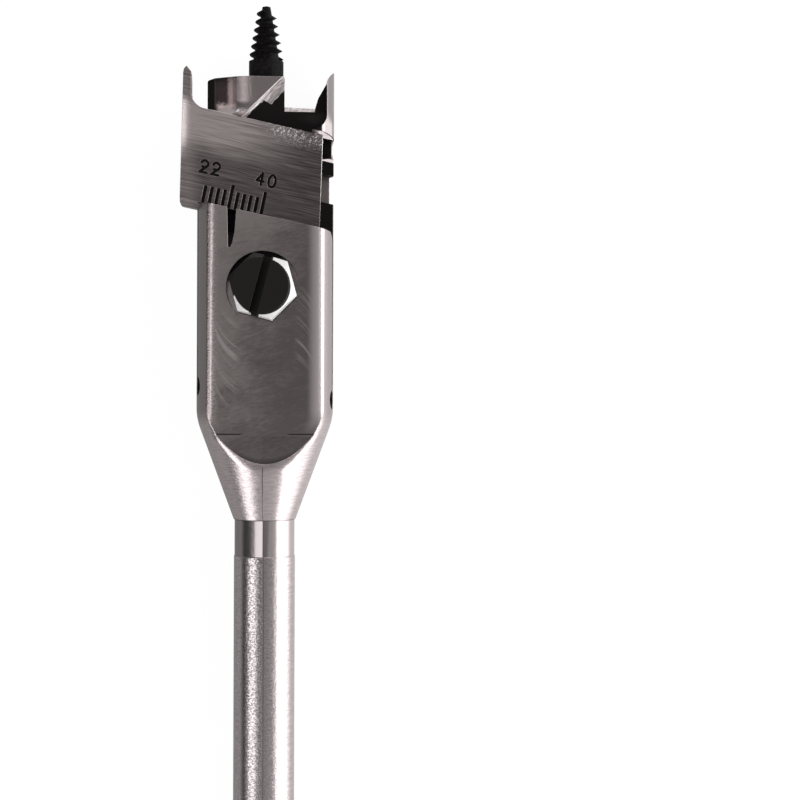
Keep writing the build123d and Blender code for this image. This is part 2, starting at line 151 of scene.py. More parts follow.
def noiseAt(point, scale, detail=2.0, rough=0.5, stretch=(1, 1, 1)):
    tree = point.id_data
    drawn = addNode(tree, "ShaderNodeVectorMath", {0: point, 1: stretch}, operation="MULTIPLY").outputs[0]
    made = addNode(tree, "ShaderNodeTexNoise", {"Vector": drawn, "Scale": scale, "Detail": detail,
                                                "Roughness": rough})
    return Field(made.outputs["Fac"])


def newGroup(name, inputs, outputs):
    group = bpy.data.node_groups.new(name, "ShaderNodeTree")
    kinds = {"float": "NodeSocketFloat", "vector": "NodeSocketVector"}
    for label, kind in inputs.items():
        group.interface.new_socket(label, in_out="INPUT", socket_type=kinds[kind])
    for label, kind in outputs.items():
        group.interface.new_socket(label, in_out="OUTPUT", socket_type=kinds[kind])
    return group, group.nodes.new("NodeGroupInput").outputs, group.nodes.new("NodeGroupOutput").inputs


def useGroup(tree, group, **values):
    made = tree.nodes.new("ShaderNodeGroup")
    made.node_tree = group
    for name, value in values.items():
        feed(made.inputs[name], value)
    return {out.name: out if out.type == "VECTOR" else Field(out) for out in made.outputs}


def angleFrom(x, z):
    # Turn round the bit's axis in radians: 0 on top and bottom, positive to the right.
    return maths("ARCTAN2", x, abs(z))


def makeMillimetres():
    # Object coordinates in millimetres, and the distance of each point from the bit's axis.
    group, inside, result = newGroup("millimetres", {}, {"Point": "vector", "X": "float", "Y": "float",
                                                         "Z": "float", "Radius": "float"})
    place = addNode(group, "ShaderNodeTexCoord").outputs["Object"]
    point = addNode(group, "ShaderNodeVectorMath", {0: place, 1: (1000, 1000, 1000)},
                    operation="MULTIPLY").outputs[0]
    x, y, z = (Field(out) for out in addNode(group, "ShaderNodeSeparateXYZ", {0: point}).outputs)
    for name, value in {"Point": point, "X": x, "Y": y, "Z": z, "Radius": (x * x + z * z).root()}.items():
        feed(result[name], value)
    return group


def makeLineGrain():
    # Long fine lines: noise drawn out by Stretch, once fine and once broad.
    group, inside, result = newGroup("lineGrain", {"Point": "vector", "Stretch": "vector", "Scale": "float"},
                                     {"Fine": "float", "Broad": "float"})
    scale = Field(inside["Scale"])
    feed(result["Fine"], noiseAt(inside["Point"], scale, 3.0, 0.6, inside["Stretch"]))
    feed(result["Broad"], noiseAt(inside["Point"], scale * 0.22, 2.0, 0.5, inside["Stretch"]))
    return group


def makeSpeckle():
    # Small random dimples of a blasted or roughly ground surface.
    group, inside, result = newGroup("speckle", {"Point": "vector", "Scale": "float"}, {"Height": "float"})
    feed(result["Height"], noiseAt(inside["Point"], Field(inside["Scale"]), 4.0, 0.7))
    return group


millimetres = makeMillimetres()
lineGrain = makeLineGrain()
speckle = makeSpeckle()


def newMaterial(name):
    material = bpy.data.materials.new(name)
    material.use_nodes = True
    tree = material.node_tree
    return material, tree, tree.nodes["Principled BSDF"]


def finishSteel(tree, shader, colour, metallic, rough, relief, edge):
    # Relief is a height in millimetres over edges that are rounded by a hair in the shading.
    soft = addNode(tree, "ShaderNodeBevel", {"Radius": edge}, samples=4).outputs[0]
    bump = addNode(tree, "ShaderNodeBump", {"Height": relief, "Distance": mm, "Strength": 1.0,
                                            "Normal": soft})
    for name, value in {"Base Color": colour, "Metallic": metallic, "Roughness": rough,
                        "Normal": bump.outputs[0]}.items():
        feed(shader.inputs[name], value)


def slopedV(x, y):
    # Distance measured square to the cutter's channel.
    turned = math.radians(bitBody["slopeAngle"])
    return x * math.sin(turned) + y * math.cos(turned)


def slopedU(x, y):
    # Distance measured along the channel.
    turned = math.radians(bitBody["slopeAngle"])
    return x * math.cos(turned) - y * math.sin(turned)


# bit body

bitBody = {
    # turned and blasted round; each pair is the light grain and the dark one
    "turnedColour": (0.76, 0.672, 0.677, 1),
    "lineColour": (0.62, 0.545, 0.55, 1),
    "grainColours": ((0.80, 0.725, 0.735, 1), (0.47, 0.415, 0.42, 1)),
    "middleColours": ((0.70, 0.63, 0.64, 1), (0.52, 0.46, 0.465, 1)),
    # painted shade: a darker band and darker strips along the shank's left
    "shadeBandColours": ((0.68, 0.63, 0.64, 1), (0.25, 0.215, 0.22, 1)),
    "shadeStripColours": ((0.40, 0.36, 0.365, 1), (0.16, 0.14, 0.142, 1)),
    # painted shade on the left of the neck and head, painted light on their right, and painted shade on the
    # spur's arm
    "neckShadedColour": (0.42, 0.375, 0.38, 1),
    "neckLitColour": (0.72, 0.64, 0.645, 1),
    "headShadedColour": (0.37, 0.32, 0.325, 1),
    "headLitColour": (0.54, 0.475, 0.48, 1),
    "armShadeColour": (0.40, 0.352, 0.355, 1),
    # milled flats and ramp
    "flatColour": (0.24, 0.208, 0.207, 1),
    "flatLightColour": (0.48, 0.42, 0.415, 1),
    "arcColour": (0.72, 0.64, 0.635, 1),
    "polishedColour": (0.64, 0.57, 0.575, 1),
    # bright border colour, a painted highlight on the flats' edges
    "edgeColour": (0.88, 0.785, 0.785, 1),
    "rampColour": (0.20, 0.172, 0.173, 1),
    "rampLineColour": (0.25, 0.215, 0.217, 1),
    # dark for the crease and seam lines, also used for painted shadow and painted dark reflection lines
    "creaseAndShadeColour": (0.05, 0.045, 0.045, 1),
    # head top and channel
    # black scale in the hollows, also painted shadow in the bolt's seat
    "scaleAndShadowColour": (0.022, 0.019, 0.019, 1),
    "facetColour": (0.60, 0.53, 0.53, 1),
    # light streaks of the ground facet, and the painted highlight along the ridge
    "streakAndGlintColour": (0.98, 0.92, 0.91, 1),
    "groovedColour": (0.36, 0.31, 0.305, 1),
    # painted shade on the lip, and the painted highlight of the flare
    "lipShadeColour": (0.05, 0.043, 0.043, 1),
    "flareHighlightColour": (0.95, 0.88, 0.88, 1),
    "hubColour": (0.50, 0.43, 0.43, 1),
    # where the finishes lie: millimetres, slopeAngle in degrees, the arm's turns in radians
    "shankEndY": 72.8,
    "neckEndY": 78.6,
    "neckRadius": 4.9,
    "coneSlope": 0.37,
    "headStartY": 94.5,
    "headRadius": 10.8,
    "flatZ": 6.27,
    "rampStartY": 91.9,
    "rampSlope": 0.4327,
    "slopeAngle": 11.8,
    "jawTopV": 131.0,
    "plateTopV": 138.03,
    "shoulderRadius": 9.93,
    "shoulderZ": 5.2,
    "insideRadius": 10.7,
    "insideStartY": 96.0,
    "grooveZ": -3.2,
    "grooveTopV": 134.66,
    "grooveEndX": 9.9,
    "windowV": (131.9, 134.62),
    "windowZ": (-2.5, 4.0),
    "windowLeftX": 9.6,
    "ridgeTop": (2.5, 148.36),
    "ridgeWidth": 0.14,
    "facetWidths": (0.5, 1.75),
    "facetWidens": (-4.7, -4.1),
    "pocketRadius": 10.6,
    "gapLeftX": 2.9,
    "gapRightX": 7.7,
    "gapFloorZ": 1.97,
    "footV": (138.0, 138.2),
    "lipLeftX": -8.1,
    "lipCrestX": -5.9,
    "lipRadius": 9.25,
    "hubZ": 3.0,
    "flareV": 139.5,
    "flareX": (-7.7, -2.0),
    "seatCentre": (-0.35, 114.95),
    "seatRadius": 6.2,
    "seatLowZ": 5.3,
    "seatLitBelowY": 114.8,
    "seatLitRightOfX": 3.2,
    "armTurn": 1.3,
    "armUpperTurn": 1.1,
    "armUpperY": 142.0,
    # bands along the shank, two of them painted shade, and painted dark reflection lines drawn on the round
    "blastedRightX": (1.6, 2.4),
    "shadeBandX": (-2.9, -0.9),
    "middleX": -0.55,
    "shadeStripX": (-3.4, -2.35),
    "shadeLineStripX": (-1.25, -0.55),
    # painted dark reflection lines along the top of the round
    "darkReflectionX": -0.14,
    "darkReflectionConeShift": 0.23,
    "darkReflectionEndY": 87.0,
    "neckDarkReflection": (0.35, 75.7),
    # end-mill arcs, and polished borders on the flats that are painted brighter as a painted highlight
    "millRadius": 8.0,
    "leftArcs": {"x": (-8.0, -4.4), "y": (97.0, 110.5)},
    "rightArcs": {"x": (4.9, 7.3), "y": (103.0, 114.0)},
    "arcShare": 0.9,
    "leftPolishAndHighlight": (1.35, 0.5),
    "rightPolishAndHighlight": (1.9, 0.6),
    "polishAndHighlightStartY": 94.0,
    # relief: heights in millimetres, leans in millimetres for each millimetre across
    "ringHeight": 0.022,
    "coneRingHeights": (0.024, 0.065),  # on the right, on the left
    "dimpleHeights": (0.05, 0.008),  # blasted, and smooth on neck and cone
    "lipDimpleHeight": 0.035,
    "arcHeight": 0.006,
    "flatStrokeHeight": 0.011,
    "rampStrokeHeight": 0.010,
    "facetHeight": 0.12,
    "neckLean": 0.24,
    "coneLean": 0.075,
    "lipLean": 0.19,
    "innerRimLean": -0.45,
    "footLeans": (-2.2, -3.4),
    "rimDraw": -0.43,
    "grooveDraw": -0.45,
    "armDraw": 5.5,
    # roughness, the later over the earlier, and the radii in millimetres of softened edges
    "roundRough": (0.20, 0.30),  # shank, head
    "rough": {"neck": 0.20, "cone": 0.26, "flat": 0.34, "ramp": 0.36, "polish": 0.30, "groove": 0.30,
              "lip": 0.26, "black": 0.55},
    "facetRough": 0.36,
    "edgeRadii": (0.12, 0.3),  # everywhere, at the polished corners
}


def bodyZones(x, y, z, radius):
    # Masks of the body's surfaces. The last number of over, under and within softens the mask's edge.
    look = bitBody
    height = abs(z)
    front = z.over(0.5, 0.2)
    v = slopedV(x, y)
    skinRadius = (look["neckRadius"] + (y - look["neckEndY"]) * look["coneSlope"]).atMost(look["headRadius"])
    rim = skinRadius - radius
    rampLevel = look["flatZ"] + ((look["rampStartY"] - y).atLeast(0.0) * look["rampSlope"])
    inset = rim.over(0.10, 0.05) & y.over(80.0, 0.5)
    zones = {"rim": rim, "front": front, "v": v, "rampGap": rampLevel - height}
    zones["above"] = v.over(look["plateTopV"] + 0.05, 0.05)
    zones["neck"] = y.within(look["shankEndY"], look["neckEndY"], 0.02)
    zones["head"] = y.over(look["headStartY"], 1.5)

    # flats, with the part of the bolt's seat that the light reaches
    offX, offY = x - look["seatCentre"][0], y - look["seatCentre"][1]
    seat = (offX * offX + offY * offY).root().under(look["seatRadius"], 0.1) & (
        z.over(look["seatLowZ"], 0.05) & z.under(look["flatZ"] - 0.05, 0.02))
    seatLit = (y + x * 0.2).under(look["seatLitBelowY"], 0.5) | x.over(look["seatLitRightOfX"], 0.9)
    onFlat = height.within(look["flatZ"] - 0.12, look["flatZ"] + 0.06, 0.04) & inset
    zones["flat"] = onFlat & (y.over(look["rampStartY"], 0.05) | ~front) | seat & seatLit
    onRamp = (height - rampLevel).within(-0.08, 0.08, 0.03) & inset & front
    zones["ramp"] = onRamp & y.under(look["rampStartY"], 0.05)
    zones["cone"] = y.over(look["neckEndY"], 0.02) & ~zones["flat"] & ~zones["ramp"]
    zones["corner"] = rim.under(0.5, 0.12) & zones["rampGap"].under(0.6, 0.1) & (
        ~(v.over(look["jawTopV"], 0.1) & front))
    # The polished borders are painted brighter as a painted highlight, weaker on the left.
    polish = x.step(-1.0, 1.0).pick(rim.step(*look["leftPolishAndHighlight"]) * 0.7, rim.step(*look["rightPolishAndHighlight"]))
    zones["polish"] = polish & zones["flat"] & y.over(look["polishAndHighlightStartY"], 2.5)

    # pocket right of the ridge: a ragged ground facet, the black web below it and the gap's rim
    ridgeX, ridgeY = look["ridgeTop"]
    across = ((x - ridgeX) - (y - ridgeY)) * math.sqrt(0.5)
    along = ((x - ridgeX) + (y - ridgeY)) * math.sqrt(0.5)
    facetWidth = along.step(*look["facetWidens"]).pick(*look["facetWidths"])
    ragged = noiseAt(joined(along * 0.6, across, z), 2.2, 3.0) * 0.7 - 0.35
    pocket = zones["above"] & front & radius.under(look["pocketRadius"], 0.05) & across.over(0.02, 0.03)
    zones["facet"] = pocket & (across + ragged - facetWidth).under(0.0, 0.05) & x.under(look["gapLeftX"], 0.05)
    # a thin line along the ridge, painted near white as a painted highlight
    zones["ridge"] = zones["facet"] & across.under(look["ridgeWidth"], 0.05)
    zones["gapRim"] = pocket & x.over(look["gapLeftX"], 0.05) & x.under(look["gapRightX"], 0.05) & (
        z.under(look["gapFloorZ"], 0.02))
    web = pocket & ~zones["facet"] & ~zones["gapRim"]

    # inside of the channel, slit and groove, black but for the ground places
    shoulder = radius.over(look["shoulderRadius"], 0.05) & height.over(look["shoulderZ"], 0.1)
    within = radius.under(look["insideRadius"], 0.04) & height.under(look["flatZ"] - 0.14, 0.05) & (
        ~shoulder & y.over(look["insideStartY"], 0.1))
    groove = z.under(look["grooveZ"], 0.05)
    zones["groove"] = within & groove & ~zones["above"]
    window = v.within(*look["windowV"], 0.04) & x.over(look["windowLeftX"], 0.1) & (
        z.within(*look["windowZ"], 0.1))
    bossSide = zones["above"] & x.under(look["lipLeftX"] + 0.02, 0.04)
    black = (within & ~zones["above"] & ~groove) | web | bossSide | window
    # the bolt's seat stays black where the light doesn't reach it: painted shadow
    zones["black"] = black & ~(zones["flat"] & seat)
    inside = ~zones["above"] & v.over(look["grooveTopV"], 0.04) & z.within(-2.6, 0.5, 0.2)
    wedge = (v - (x - 9.0) * 0.28).under(134.95, 0.06) & x.over(8.8, 0.1) & within
    zones["innerRim"] = inside & (wedge | x.over(10.5, 0.06) & radius.under(10.9, 0.1))

    # lip on the left, scoring spur's arm and its foot on the right
    zones["lip"] = zones["above"] & ~bossSide & across.under(0.0, 0.03) & z.over(-2.2, 0.2) & (
        radius.under(look["lipRadius"], 0.05) & z.under(look["hubZ"] + 0.1, 0.05))
    zones["foot"] = v.within(*look["footV"], 0.05) & x.over(look["gapRightX"], 0.5) & z.over(0.3, 0.3) & (
        radius.under(10.75, 0.1) & height.under(6.2, 0.1))
    turn = angleFrom(x, z)
    upperArm = turn.over(look["armUpperTurn"], 0.04) & y.over(look["armUpperY"], 1.0)
    zones["arm"] = zones["above"] & (turn.over(look["armTurn"], 0.06) | upperArm)
    return zones


def flatStrokes(x, y, z):
    # Fine hand-polishing strokes on the flats, a little off the square.
    lean = 0.25
    return useGroup(x.tree, lineGrain, Point=joined(x + y * lean, y - x * lean, z), Stretch=(0.28, 1.0, 0.3),
                    Scale=3.4)


def millArcs(x, y):
    # End-mill arcs: their centre walks along Y, so each line is drawn on a circle of the mill's radius.
    look = bitBody
    reach = (look["millRadius"] ** 2 - x * x).atLeast(0.1).root()
    side = x.step(0.3, -0.3)
    walk = joined(side.pick(y - reach, y + reach), side * 40.0, 0.0)
    lines = noiseAt(walk, 0.8, 4.0, 0.62).step(0.49, 0.62)
    left, right = look["leftArcs"], look["rightArcs"]
    share = (x.within(*left["x"], 0.8) & y.within(*left["y"], 2.0)) | (
        x.within(*right["x"], 0.6) & y.within(*right["y"], 2.0)) * 0.8
    return lines * share


def flatTone(x, y, zones, strokes, point):
    # Flats: lighter at the upper left, streaked by the strokes, arcs of the mill, polished along the edges and
    # painted brighter there as a painted highlight, most on the right.
    look = bitBody
    patches = noiseAt(point, 0.12, 3.0)
    upperLeft = (x * -0.05 + (y - 112.0) * 0.018 + (patches - 0.5) * 1.1 + 0.45).step(0.0, 1.0)
    tone = upperLeft + (strokes["Fine"] - 0.5) * 1.1 + (strokes["Broad"] - 0.5) * 0.5
    flat = paint(tone.step(-0.1, 1.1), look["flatColour"], look["flatLightColour"])
    sparks = useGroup(x.tree, speckle, Point=point, Scale=3.0)["Height"].step(0.40, 0.60)
    polishedAndHighlighted = paint(sparks | x.step(-2.0, 2.0), look["flatLightColour"], look["edgeColour"])
    return layers(flat, (millArcs(x, y) * look["arcShare"], look["arcColour"]), (zones["polish"], polishedAndHighlighted))


def roundTone(x, y, z, zones, grains, point):
    # Shank, neck, cone and the round of the head, with the fine lines left by turning.
    look = bitBody
    rings = useGroup(x.tree, lineGrain, Point=point, Stretch=(0.12, 1.0, 0.12), Scale=5.0)
    turned = paint(rings["Fine"].step(0.3, 0.7), look["lineColour"], look["turnedColour"])
    # painted shade on the neck's left, painted light on its right
    neck = paint(x.step(-0.3, 0.6), look["neckShadedColour"], look["neckLitColour"])
    blasted = y.under(look["shankEndY"], 0.05) & ~x.step(*look["blastedRightX"])
    middle = x.over(look["middleX"], 0.3)
    # Painted shade: a darker band and darker strips along the shank's left.
    shadeBand = x.within(*look["shadeBandX"], 0.4)
    shadeStrip = (x + (grains - 0.5) * 2.0).within(*look["shadeStripX"], 0.25)
    shadeStrip = shadeStrip | (x + (grains - 0.5)).within(*look["shadeLineStripX"], 0.2) * 0.55
    blastedLight, blastedDark = (
        layers(look["grainColours"][tone], (middle, look["middleColours"][tone]),
               (shadeBand, look["shadeBandColours"][tone]), (shadeStrip, look["shadeStripColours"][tone]))
        for tone in (0, 1))
    blastedGrain = paint(grains.step(0.38, 0.62), blastedDark, blastedLight)
    # painted shade on the head's left, painted light on its right
    head = paint(x.step(-2.0, 2.0), look["headShadedColour"], look["headLitColour"])

    # a dark seam where the cone meets the neck; a painted dark reflection, faint on the neck and a thin line
    # along the top of the shank and cone
    seam = (y - look["neckEndY"]).within(-0.06, 0.06, 0.03)
    markX, markY = look["neckDarkReflection"]
    neckDarkReflection = (x - markX - (y - markY) * 0.03).within(-0.25, 0.25, 0.22) & zones["neck"] & z.over(2.0, 0.5)
    wander = (noiseAt(joined(0.0 * x, y, 0.0), 0.5, 2.0) - 0.5) * 0.15
    shift = y.step(72.0, 82.0) * look["darkReflectionConeShift"]
    deeper = y.step(81.8, 83.5)
    offLine = abs(x - look["darkReflectionX"] + shift + wander) - deeper * 0.05
    darkReflectionLine = offLine.under(0.05, 0.06) & z.over(2.0, 0.5) & y.under(look["darkReflectionEndY"], 0.4) & ~zones["neck"]
    return layers(
        turned,
        (zones["neck"], neck),
        (blasted, blastedGrain),
        (zones["head"], head),
        (seam * 0.75, look["creaseAndShadeColour"]),
        (darkReflectionLine * 0.6, look["creaseAndShadeColour"]),
        (neckDarkReflection * 0.3, look["creaseAndShadeColour"]),
        # the spur's arm painted darker as painted shade
        (zones["arm"], look["armShadeColour"]),
    )


def lipTone(x, zones, grains):
    # Cutting lip: painted shade left of its crest, the hub's grey right of it, a painted highlight as a bright
    # flare along the plate.
    look = bitBody
    crest = (x + (grains - 0.5) * 2.0).over(look["lipCrestX"], 0.3)
    flare = (zones["v"] + (grains - 0.5) * 3.0).under(look["flareV"], 0.7) & x.within(*look["flareX"], 0.4)
    return layers(paint(crest, look["lipShadeColour"], look["hubColour"]), (flare, look["flareHighlightColour"]))


def bodyColour(x, y, z, zones, point):
    look = bitBody
    strokes = flatStrokes(x, y, z)
    grains = useGroup(x.tree, speckle, Point=joined(x * 0.8, y * 1.15, z * 0.8), Scale=3.9)["Height"]
    # painted shadow along the ramp's lower rim
    rampEdgeShadow = zones["ramp"] & zones["rim"].under(0.55, 0.4) & y.under(89.3, 1.2)
    streaks = noiseAt(joined((x + y) * 0.15, y - x, z), 3.0, 3.0).step(0.42, 0.62)
    crease = (y - look["rampStartY"] - 0.25).within(-0.09, 0.09, 0.06) & zones["flat"] & abs(x).over(3.6, 0.5)
    return layers(
        roundTone(x, y, z, zones, grains, point),
        (zones["flat"], flatTone(x, y, zones, strokes, point)),
        (zones["ramp"], paint(strokes["Fine"].step(0.35, 0.65), look["rampColour"], look["rampLineColour"])),
        (crease, look["creaseAndShadeColour"]),
        (rampEdgeShadow * 0.6, look["creaseAndShadeColour"]),
        (zones["groove"], look["groovedColour"]),
        (zones["lip"], lipTone(x, zones, grains)),
        (zones["black"], look["scaleAndShadowColour"]),
        (zones["innerRim"] | zones["foot"], look["polishedColour"]),
        (zones["facet"] | zones["gapRim"], paint(streaks, look["facetColour"], look["streakAndGlintColour"])),
        (zones["ridge"], look["streakAndGlintColour"]),
    )


def bodyRelief(x, y, z, zones, point):
    # Heights in millimetres: rings and dimples of the round, then what hand polishing drew down.
    look = bitBody
    rings = useGroup(point.id_data, lineGrain, Point=point, Stretch=(0.3, 1.0, 0.3), Scale=4.0)
    dimples = useGroup(point.id_data, speckle, Point=point, Scale=2.4)["Height"] - 0.5
    smooth = zones["neck"] | zones["cone"]
    lined = zones["cone"].pick(look["ringHeight"], x.step(2.0, -1.0).pick(*look["coneRingHeights"]))
    turned = (rings["Fine"] - 0.5) * lined + dimples * smooth.pick(*look["dimpleHeights"])
    # The neck is a little steeper on its left, and the cone a little flatter.
    past = (-1.7 - x).atLeast(0.0).atMost(1.9)
    neckLean = (x.atMost(-0.3).atLeast(-1.7) - past) * look["neckLean"] + past * past * 0.08
    turned = turned + (neckLean & zones["neck"])
    coneLean = (x + 0.5).atMost(0.0) * look["coneLean"] & y.over(look["neckEndY"], 0.02) & y.under(92.5, 2.0)
    # The polishing wheel drew the ramp's rim down into the round.
    nearRim = (1.0 - zones["rampGap"] / 1.2).atLeast(0.0).atMost(1.0)
    rimDraw = nearRim * nearRim * look["rimDraw"] & zones["front"] & y.over(85.0, 1.0) & y.under(93.0, 4.0)
    armBend = (angleFrom(x, z).atMost(look["armTurn"]) - 0.85).atLeast(0.0)
    armDraw = armBend * armBend * look["armDraw"] & zones["above"] & y.under(look["armUpperY"], 1.5)
    lipLean = (x + 4.6).atMost(0.0) * look["lipLean"]
    footLean = x * look["footLeans"][0] + z * look["footLeans"][1]
    strokes = flatStrokes(x, y, z)
    brushed = useGroup(point.id_data, lineGrain, Point=joined(x + y, y - x, z), Stretch=(0.12, 1.0, 0.3),
                       Scale=2.6)
    grooveEdge = (x - look["grooveEndX"]).atLeast(0.0)
    flat = millArcs(x, y) * look["arcHeight"] + (strokes["Fine"] - 0.5) * look["flatStrokeHeight"]
    return choose(
        turned,
        (zones["flat"], flat),
        (zones["ramp"], (strokes["Fine"] - 0.5) * look["rampStrokeHeight"]),
        (zones["groove"], grooveEdge * grooveEdge * look["grooveDraw"]),
        (zones["innerRim"], x * look["innerRimLean"]),
        (zones["foot"], footLean),
        (zones["lip"], dimples * look["lipDimpleHeight"] + lipLean),
        (zones["facet"] | zones["gapRim"], (brushed["Fine"] - 0.5) * look["facetHeight"]),
    ) + armDraw + rimDraw - coneLean


def makeBodySteel():
    look = bitBody
    material, tree, shader = newMaterial("groundBodySteel")
    place = useGroup(tree, millimetres)
    x, y, z, point = place["X"], place["Y"], place["Z"], place["Point"]
    zones = bodyZones(x, y, z, place["Radius"])
    rough = choose(
        zones["head"].pick(*look["roundRough"]),
        *((zones[surface], value) for surface, value in look["rough"].items()),
        (zones["facet"] | zones["gapRim"], look["facetRough"]),
    )
    edge = zones["corner"].pick(*(radius * mm for radius in look["edgeRadii"]))
    finishSteel(tree, shader, bodyColour(x, y, z, zones, point), 1.0, rough,
                bodyRelief(x, y, z, zones, point), edge)
    return material


# sliding cutter

slidingCutter = {
    "darkColour": (0.13, 0.111, 0.109, 1),
    "lightColour": (0.88, 0.77, 0.76, 1),
    "markColour": (0.022, 0.019, 0.019, 1),
    # bright grains, and the painted highlight on the plate's end chamfer
    "grainAndHighlightColour": (0.95, 0.92, 0.91, 1),
    "faceZ": 3.68,
    "markFloorZ": 3.34,
    "markX": (-10.6, 2.6),
    "markV": (123.3, 130.5),
    "leftX": -13.4,
    "endX": 8.71,
    "endY": 125.7,
    "endLean": 0.0292,
    "chamferWidth": 0.24,
    "roughPatchX": (-1.7, 2.3),
    "roughPatchV": (134.4, 137.2),
    "spurRoot": (-9.5, 144.2),
    # weights of the painted light and shade on the plate's face
    "paintedLightWeights": {"base": 0.11, "lip": 0.76, "leftEdge": 0.28, "left": 0.06, "spur": 0.75},
    "patchRough": 0.34,
    "markRough": 0.6,
    "edgeRadius": 0.15,
}


def makeCutterSteel():
    look = slidingCutter
    material, tree, shader = newMaterial("surfaceGroundSteel")
    place = useGroup(tree, millimetres)
    x, y, z = place["X"], place["Y"], place["Z"]
    u, v = slopedU(x, y), slopedV(x, y)
    lines = useGroup(tree, lineGrain, Point=joined(u, v, z), Stretch=(0.025, 1.0, 0.03), Scale=7.0)
    grains = useGroup(tree, speckle, Point=place["Point"], Scale=4.2)["Height"]
    face = z.over(look["faceZ"] - 0.03, 0.02)
    sunk = z.under(look["faceZ"] - 0.06, 0.03) & z.over(look["markFloorZ"], 0.04)
    marks = sunk & x.within(*look["markX"], 0.1) & v.within(*look["markV"], 0.1)
    patch = x.step(*look["roughPatchX"]) & v.step(*look["roughPatchV"]) & face
    sparks = patch & grains.step(0.51, 0.63)

    # Painted light and shade: lighter along the lip and towards the left edge, darker on the spur and at the
    # lower right.
    upper = v.step(129.5, 135.3) & x.step(7.5, -6.0)
    spurX, spurY = look["spurRoot"]
    spur = y.over(spurY, 1.2) & x.under(spurX, 0.3)
    weight = look["paintedLightWeights"]
    tone = upper * weight["lip"] + x.step(-9.5, -12.5) * weight["leftEdge"]
    tone = tone + x.step(8.0, -9.0) * weight["left"] + weight["base"] - spur * weight["spur"]
    streak = (lines["Fine"] - 0.5) * 1.7 + (lines["Broad"] - 0.5) * 0.5
    tone = tone + streak * (tone * 0.8 + 0.40)
    colour = paint(tone.atLeast(0.0).atMost(1.0), look["darkColour"], look["lightColour"])

    # The plate's right end is painted with a bright line on its chamfer as a painted highlight, and its left
    # edge is drawn down a little.
    pastEnd = x - look["endX"] - (y - look["endY"]) * look["endLean"]
    chamferHighlight = pastEnd.over(-look["chamferWidth"], 0.04) & face
    colour = layers(colour, (patch * 0.6, look["darkColour"]), (sparks, look["grainAndHighlightColour"]),
                    (marks, look["markColour"]), (chamferHighlight, look["grainAndHighlightColour"]))
    nearLeft = (look["leftX"] + 1.9 - x).atLeast(0.0)
    leftDraw = nearLeft * nearLeft * 0.07 & face & y.under(145.0, 1.0) & y.over(136.0, 3.5)
    endDraw = (pastEnd + look["chamferWidth"]).atLeast(0.0) * 0.7
    relief = choose(lines["Fine"] * 0.012 + lines["Broad"] * 0.006, (patch, grains * 0.12))
    rough = choose(lines["Fine"] * 0.16 + 0.22, (patch, look["patchRough"]), (marks, look["markRough"]))
    finishSteel(tree, shader, colour, 1.0, rough, relief - leftDraw - endDraw, look["edgeRadius"] * mm)
    return material


# clamp bolt and feed screw

clampBolt = {
    "blackColour": (0.0105, 0.0088, 0.0082, 1),
    # white of the painted highlight on the chamfer
    "chamferHighlightColour": (0.92, 0.90, 0.90, 1),
    "centre": (-0.55, 114.95),
    "topRadius": 4.4,
    "chamferZ": 7.3,
    "brightEnd": 71.0,
    "brightWidth": 231.0,
    "slotHeading": 76.0,
    "slotWidth": 1.25,
    "chamferMetal": 0.2,
    "specular": 0.25,
    "rough": 0.38,
    "edgeRadius": 0.1,
}


def makeBoltSteel():
    look = clampBolt
    material, tree, shader = newMaterial("blackBoltSteel")
    place = useGroup(tree, millimetres)
    grain = useGroup(tree, speckle, Point=place["Point"], Scale=2.5)["Height"]
    offX = place["X"] - look["centre"][0]
    offY = place["Y"] - look["centre"][1]
    reach = (offX * offX + offY * offY).root()
    # The chamfer is painted white as a painted highlight: everything but the upper left third and the slot.
    heading = math.radians(look["brightEnd"] - look["brightWidth"] / 2)
    facing = (offX * math.cos(heading) + offY * math.sin(heading)) / reach.atLeast(0.1)
    highlightSide = facing.over(math.cos(math.radians(look["brightWidth"] / 2)), 0.04)
    slotTurn = math.radians(look["slotHeading"])
    besideSlot = abs(offX * math.sin(slotTurn) - offY * math.cos(slotTurn)).over(look["slotWidth"] / 2, 0.03)
    chamferHighlight = reach.over(look["topRadius"], 0.05) & place["Z"].over(look["chamferZ"], 0.1) & highlightSide & besideSlot
    colour = layers(look["blackColour"], (chamferHighlight, look["chamferHighlightColour"]))
    shader.inputs["Specular IOR Level"].default_value = look["specular"]
    finishSteel(tree, shader, colour, chamferHighlight * look["chamferMetal"], grain * 0.1 + look["rough"],
                grain * 0.01, look["edgeRadius"] * mm)
    return material


leadScrew = {
    "blackColour": (0.005, 0.0043, 0.0043, 1),
    "wornColour": (0.017, 0.015, 0.015, 1),
    "specular": 0.08,
    "rough": 0.45,
    "edgeRadius": 0.1,
}


def makeScrewSteel():
    look = leadScrew
    material, tree, shader = newMaterial("blackScrewSteel")
    place = useGroup(tree, millimetres)
    grain = useGroup(tree, speckle, Point=place["Point"], Scale=2.0)["Height"]
    colour = paint(grain.step(0.4, 0.7), look["blackColour"], look["wornColour"])
    shader.inputs["Specular IOR Level"].default_value = look["specular"]
    finishSteel(tree, shader, colour, 0.0, grain * 0.1 + look["rough"], grain * 0.02, look["edgeRadius"] * mm)
    return material


def dress(name, material):
    for slotHere in nodes[name].material_slots:
        slotHere.material = material


dress("bit_body", makeBodySteel())
dress("sliding_cutter", makeCutterSteel())
dress("clamp_bolt", makeBoltSteel())
dress("lead_screw", makeScrewSteel())
print("materials placed")


# studio

